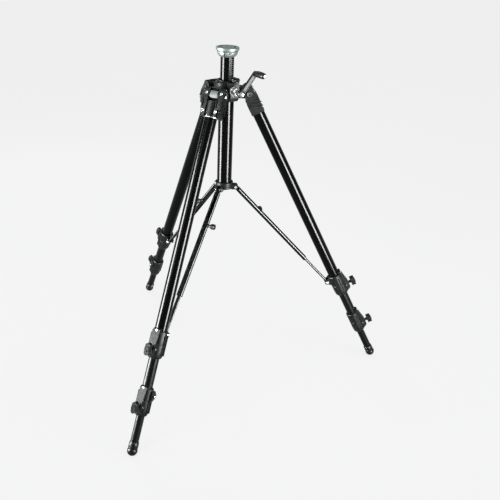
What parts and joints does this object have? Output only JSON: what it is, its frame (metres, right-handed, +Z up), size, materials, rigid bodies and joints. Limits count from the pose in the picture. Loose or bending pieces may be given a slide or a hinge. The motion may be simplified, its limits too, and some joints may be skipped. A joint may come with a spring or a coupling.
{
  "type": "studio tripod with geared column",
  "caption": "Professional photo tripod: crank-driven geared column with a flat camera platform, telescopic clamp legs on hinged forks and a mid-level telescopic brace.",
  "frame": {"origin": "on the floor, under the middle of the footprint box of the spread feet; the column axis stands 111.4 mm from it towards -X", "axes": "+Z up along the column; +X out along the right-hand leg, with the other two legs at 120 and 240 degrees"},
  "size_m": [0.6931, 0.7966, 0.8768],
  "materials": {
    "black_tube": "gloss black anodised tube",
    "grey_tube": "satin dark grey anodised tube",
    "casting": "textured dark grey painted casting",
    "silver": "satin silver casting",
    "rack_steel": "machined",
    "steel": "bright plated",
    "brass": "machined",
    "plastic": "moulded, fine texture",
    "rubber": "matt"
  },
  "bodies": {
    "chassis": {"body": "casting", "guide_tube": "black_tube", "brace_hub": "casting", "gear_housing": "silver"},
    "column": {"column": "black_tube", "rack": "rack_steel", "column_cap": "plastic", "top_plate": "silver", "camera_stud": "steel"},
    "pinion": {"pinion_shaft": "brass"},
    "crank": {"worm_shaft": "steel", "crank_arm": "casting"},
    "crank_grip": {"crank_grip": "plastic"},
    "column_lock": {"column_lock_knob": "plastic"},
    "friction_knob": {"friction_knob": "plastic"},
    "leg_right": {"leg_fork_right": "casting", "hinge_bolt_right": "steel", "upper_tube_right": "black_tube", "upper_clamp_right": "casting", "brace_pin_right": "steel"},
    "leg_middle_right": {"middle_tube_right": "grey_tube", "lower_clamp_right": "casting"},
    "leg_lower_right": {"lower_tube_right": "grey_tube", "foot_right": "rubber"},
    "upper_knob_right": {"upper_knob_right": "plastic"},
    "lower_knob_right": {"lower_knob_right": "plastic"},
    "brace_channel_right": {"brace_channel_right": "casting"},
    "brace_rod_right": {"brace_rod_right": "grey_tube"},
    "brace_knob_right": {"brace_knob_right": "plastic"},
    "leg_rear": {"leg_fork_rear": "casting", "hinge_bolt_rear": "steel", "upper_tube_rear": "black_tube", "upper_clamp_rear": "casting", "brace_pin_rear": "steel"},
    "leg_middle_rear": {"middle_tube_rear": "grey_tube", "lower_clamp_rear": "casting"},
    "leg_lower_rear": {"lower_tube_rear": "grey_tube", "foot_rear": "rubber"},
    "upper_knob_rear": {"upper_knob_rear": "plastic"},
    "lower_knob_rear": {"lower_knob_rear": "plastic"},
    "brace_channel_rear": {"brace_channel_rear": "casting"},
    "brace_rod_rear": {"brace_rod_rear": "grey_tube"},
    "brace_knob_rear": {"brace_knob_rear": "plastic"},
    "leg_front": {"leg_fork_front": "casting", "hinge_bolt_front": "steel", "upper_tube_front": "black_tube", "upper_clamp_front": "casting", "brace_pin_front": "steel"},
    "leg_middle_front": {"middle_tube_front": "grey_tube", "lower_clamp_front": "casting"},
    "leg_lower_front": {"lower_tube_front": "grey_tube", "foot_front": "rubber"},
    "upper_knob_front": {"upper_knob_front": "plastic"},
    "lower_knob_front": {"lower_knob_front": "plastic"},
    "brace_channel_front": {"brace_channel_front": "casting"},
    "brace_rod_front": {"brace_rod_front": "grey_tube"},
    "brace_knob_front": {"brace_knob_front": "plastic"}
  },
  "joints": [
    {"name": "column_lift", "type": "slide", "parent": "chassis", "child": "column", "axis": [0, 0, 1], "range_m": [-0.0412, 0.1897]},
    {"name": "crank_turn", "type": "hinge", "parent": "chassis", "child": "crank", "pos_m": [-0.0916, -0.0463, 0.782], "axis": [0.5, -0.866, 0], "range_deg": [-8290, 1810]},
    {"name": "pinion_turn", "type": "hinge", "parent": "chassis", "child": "pinion", "pos_m": [-0.0989, -0.02165, 0.7677], "axis": [0.866, 0.5, 0], "range_deg": [-228, 1038]},
    {"name": "grip_spin", "type": "hinge", "parent": "crank", "child": "crank_grip", "pos_m": [-0.04431, -0.05364, 0.82643], "axis": [0.5, -0.866, 0], "continuous": true},
    {"name": "column_lock_turn", "type": "hinge", "parent": "chassis", "child": "column_lock", "pos_m": [-0.0964, 0.02598, 0.786], "axis": [0.5, 0.866, 0], "range_deg": [0, 180]},
    {"name": "friction_turn", "type": "hinge", "parent": "chassis", "child": "friction_knob", "pos_m": [-0.09144, -0.02658, 0.805], "axis": [0, 0, 1], "range_deg": [-90, 270]},
    {"name": "leg_fold_right", "type": "hinge", "parent": "chassis", "child": "leg_right", "pos_m": [-0.0584, 0, 0.77316], "axis": [0, 1, 0], "range_deg": [0, 24]},
    {"name": "middle_slide_right", "type": "slide", "parent": "leg_right", "child": "leg_middle_right", "axis": [0.4587, 0, -0.8886], "range_m": [-0.065, 0.34]},
    {"name": "lower_slide_right", "type": "slide", "parent": "leg_middle_right", "child": "leg_lower_right", "axis": [0.4587, 0, -0.8886], "range_m": [-0.065, 0.34]},
    {"name": "upper_clamp_turn_right", "type": "hinge", "parent": "leg_right", "child": "upper_knob_right", "pos_m": [0.24469, 0, 0.24763], "axis": [0.8886, 0, 0.4587], "range_deg": [0, 180]},
    {"name": "lower_clamp_turn_right", "type": "hinge", "parent": "leg_middle_right", "child": "lower_knob_right", "pos_m": [0.30622, 0, 0.12297], "axis": [0.8886, 0, 0.4587], "range_deg": [0, 180]},
    {"name": "brace_channel_fold_right", "type": "hinge", "parent": "chassis", "child": "brace_channel_right", "pos_m": [-0.0824, 0, 0.531], "axis": [0, 1, 0], "range_deg": [-0.5, 38.47]},
    {"name": "brace_rod_fold_right", "type": "hinge", "parent": "leg_right", "child": "brace_rod_right", "pos_m": [0.18222, 0, 0.25028], "axis": [0, 1, 0], "range_deg": [-0.5, 14.47]},
    {"name": "brace_knob_turn_right", "type": "hinge", "parent": "brace_channel_right", "child": "brace_knob_right", "pos_m": [-0.01449, 0.01, 0.45896], "axis": [0, 1, 0], "range_deg": [0, 180]},
    {"name": "leg_fold_rear", "type": "hinge", "parent": "chassis", "child": "leg_rear", "pos_m": [-0.1379, 0.0459, 0.77316], "axis": [-0.866, -0.5, 0], "range_deg": [0, 24]},
    {"name": "middle_slide_rear", "type": "slide", "parent": "leg_rear", "child": "leg_middle_rear", "axis": [-0.2293, 0.3972, -0.8886], "range_m": [-0.065, 0.34]},
    {"name": "lower_slide_rear", "type": "slide", "parent": "leg_middle_rear", "child": "leg_lower_rear", "axis": [-0.2293, 0.3972, -0.8886], "range_m": [-0.065, 0.34]},
    {"name": "upper_clamp_turn_rear", "type": "hinge", "parent": "leg_rear", "child": "upper_knob_rear", "pos_m": [-0.28945, 0.30838, 0.24763], "axis": [-0.4443, 0.7696, 0.4586], "range_deg": [0, 180]},
    {"name": "lower_clamp_turn_rear", "type": "hinge", "parent": "leg_middle_rear", "child": "lower_knob_rear", "pos_m": [-0.32021, 0.36167, 0.12297], "axis": [-0.4443, 0.7696, 0.4586], "range_deg": [0, 180]},
    {"name": "brace_channel_fold_rear", "type": "hinge", "parent": "chassis", "child": "brace_channel_rear", "pos_m": [-0.1259, 0.02511, 0.531], "axis": [-0.866, -0.5, 0], "range_deg": [-0.5, 38.47]},
    {"name": "brace_rod_fold_rear", "type": "hinge", "parent": "leg_rear", "child": "brace_rod_rear", "pos_m": [-0.25821, 0.25428, 0.25028], "axis": [-0.866, -0.5, 0], "range_deg": [-0.5, 14.47]},
    {"name": "brace_knob_turn_rear", "type": "hinge", "parent": "brace_channel_rear", "child": "brace_knob_rear", "pos_m": [-0.16851, 0.07892, 0.45896], "axis": [-0.866, -0.5, 0], "range_deg": [0, 180]},
    {"name": "leg_fold_front", "type": "hinge", "parent": "chassis", "child": "leg_front", "pos_m": [-0.1379, -0.0459, 0.77316], "axis": [0.866, -0.5, 0], "range_deg": [0, 24]},
    {"name": "middle_slide_front", "type": "slide", "parent": "leg_front", "child": "leg_middle_front", "axis": [-0.2293, -0.3972, -0.8886], "range_m": [-0.065, 0.34]},
    {"name": "lower_slide_front", "type": "slide", "parent": "leg_middle_front", "child": "leg_lower_front", "axis": [-0.2293, -0.3972, -0.8886], "range_m": [-0.065, 0.34]},
    {"name": "upper_clamp_turn_front", "type": "hinge", "parent": "leg_front", "child": "upper_knob_front", "pos_m": [-0.28945, -0.30838, 0.24763], "axis": [-0.4443, -0.7696, 0.4586], "range_deg": [0, 180]},
    {"name": "lower_clamp_turn_front", "type": "hinge", "parent": "leg_middle_front", "child": "lower_knob_front", "pos_m": [-0.32021, -0.36167, 0.12297], "axis": [-0.4443, -0.7696, 0.4586], "range_deg": [0, 180]},
    {"name": "brace_channel_fold_front", "type": "hinge", "parent": "chassis", "child": "brace_channel_front", "pos_m": [-0.1259, -0.02511, 0.531], "axis": [0.866, -0.5, 0], "range_deg": [-0.5, 38.47]},
    {"name": "brace_rod_fold_front", "type": "hinge", "parent": "leg_front", "child": "brace_rod_front", "pos_m": [-0.25821, -0.25428, 0.25028], "axis": [0.866, -0.5, 0], "range_deg": [-0.5, 14.47]},
    {"name": "brace_knob_turn_front", "type": "hinge", "parent": "brace_channel_front", "child": "brace_knob_front", "pos_m": [-0.15119, -0.08892, 0.45896], "axis": [0.866, -0.5, 0], "range_deg": [0, 180]}
  ],
  "couplings": [
    {"joint": "crank_turn", "follows": "column_lift", "rad_per_m": -761.9},
    {"joint": "pinion_turn", "follows": "column_lift", "rad_per_m": 95.238},
    {"joint": "brace_channel_fold_right", "follows": "leg_fold_right", "ratio": 1.5822},
    {"joint": "brace_rod_fold_right", "follows": "leg_fold_right", "ratio": 0.58216},
    {"joint": "brace_channel_fold_rear", "follows": "leg_fold_rear", "ratio": 1.5822},
    {"joint": "brace_rod_fold_rear", "follows": "leg_fold_rear", "ratio": 0.58216},
    {"joint": "brace_channel_fold_front", "follows": "leg_fold_front", "ratio": 1.5822},
    {"joint": "brace_rod_fold_front", "follows": "leg_fold_front", "ratio": 0.58216}
  ]
}
